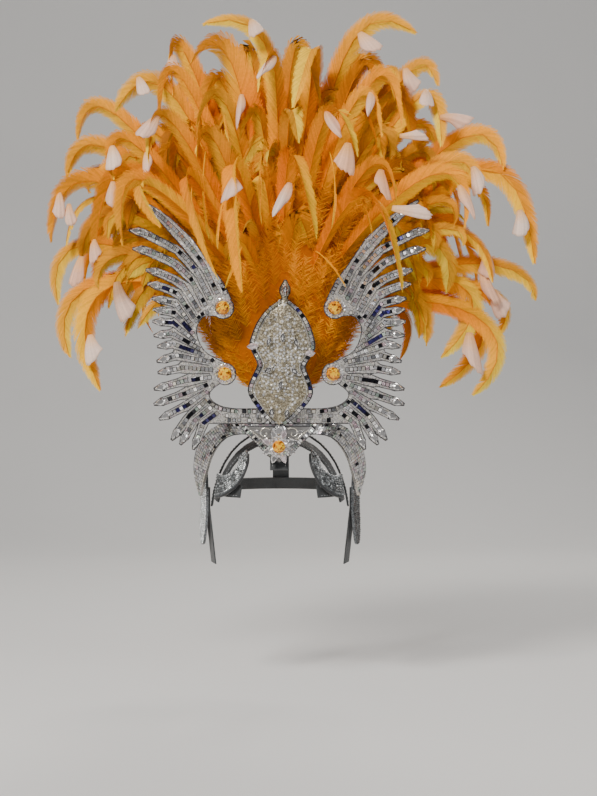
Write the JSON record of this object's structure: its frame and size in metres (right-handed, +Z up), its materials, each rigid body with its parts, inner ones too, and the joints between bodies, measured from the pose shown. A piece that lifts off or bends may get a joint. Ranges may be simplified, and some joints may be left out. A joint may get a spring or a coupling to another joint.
{
  "type": "carnival feather headdress",
  "caption": "Worn headdress: a cage of straps carries a mirror-tiled bandeau, medallion and rayed wings with clear and amber stones, under a fountain of orange feathers.",
  "frame": {"origin": "seat on the crown of the head: the middle of the underside of the crown strap", "axes": "+Z up, the front faces -Y, +X to the right as seen from the front"},
  "size_m": [0.5636, 0.2417, 0.6331],
  "materials": {
    "strap_grey": "dull dark webbing",
    "mirror_silver": "small mirror tiles and glitter on silver board",
    "bead_grey": "grey beads and stones on felt",
    "clear_stone": "foil-backed cut stone",
    "amber_stone": "foil-backed cut stone in a ring of clear beads",
    "orange_feather": "dyed feather"
  },
  "bodies": {
    "root": {"brow_plate": "mirror_silver", "brow_strap": "strap_grey", "centre_strap": "strap_grey", "cheek_tab_left": "strap_grey", "cheek_tab_right": "strap_grey", "crescent_left": "mirror_silver", "crescent_right": "mirror_silver", "crown_strap": "strap_grey", "ear_flap_left": "bead_grey", "ear_flap_right": "bead_grey", "flower_petals": "clear_stone", "flower_stone": "amber_stone", "head_band": "strap_grey", "medallion": "mirror_silver", "plume": "orange_feather", "spine": "strap_grey", "temple_leaf_left": "bead_grey", "temple_leaf_right": "bead_grey", "tip_stone_left_02": "clear_stone", "tip_stone_left_03": "clear_stone", "tip_stone_left_04": "clear_stone", "tip_stone_left_05": "clear_stone", "tip_stone_left_06": "clear_stone", "tip_stone_left_07": "clear_stone", "tip_stone_left_08": "clear_stone", "tip_stone_left_09": "clear_stone", "tip_stone_left_10": "clear_stone", "tip_stone_left_11": "clear_stone", "tip_stone_left_12": "clear_stone", "tip_stone_left_13": "clear_stone", "tip_stone_left_14": "clear_stone", "tip_stone_left_15": "clear_stone", "tip_stone_left_16": "clear_stone", "tip_stone_left_17": "clear_stone", "tip_stone_left_18": "clear_stone", "tip_stone_right_02": "clear_stone", "tip_stone_right_03": "clear_stone", "tip_stone_right_04": "clear_stone", "tip_stone_right_05": "clear_stone", "tip_stone_right_06": "clear_stone", "tip_stone_right_07": "clear_stone", "tip_stone_right_08": "clear_stone", "tip_stone_right_09": "clear_stone", "tip_stone_right_10": "clear_stone", "tip_stone_right_11": "clear_stone", "tip_stone_right_12": "clear_stone", "tip_stone_right_13": "clear_stone", "tip_stone_right_14": "clear_stone", "tip_stone_right_15": "clear_stone", "tip_stone_right_16": "clear_stone", "tip_stone_right_17": "clear_stone", "tip_stone_right_18": "clear_stone", "wing_jewel_left_lower": "amber_stone", "wing_jewel_left_upper": "amber_stone", "wing_jewel_right_lower": "amber_stone", "wing_jewel_right_upper": "amber_stone", "wing_left": "mirror_silver", "wing_right": "mirror_silver"}
  },
  "joints": []
}
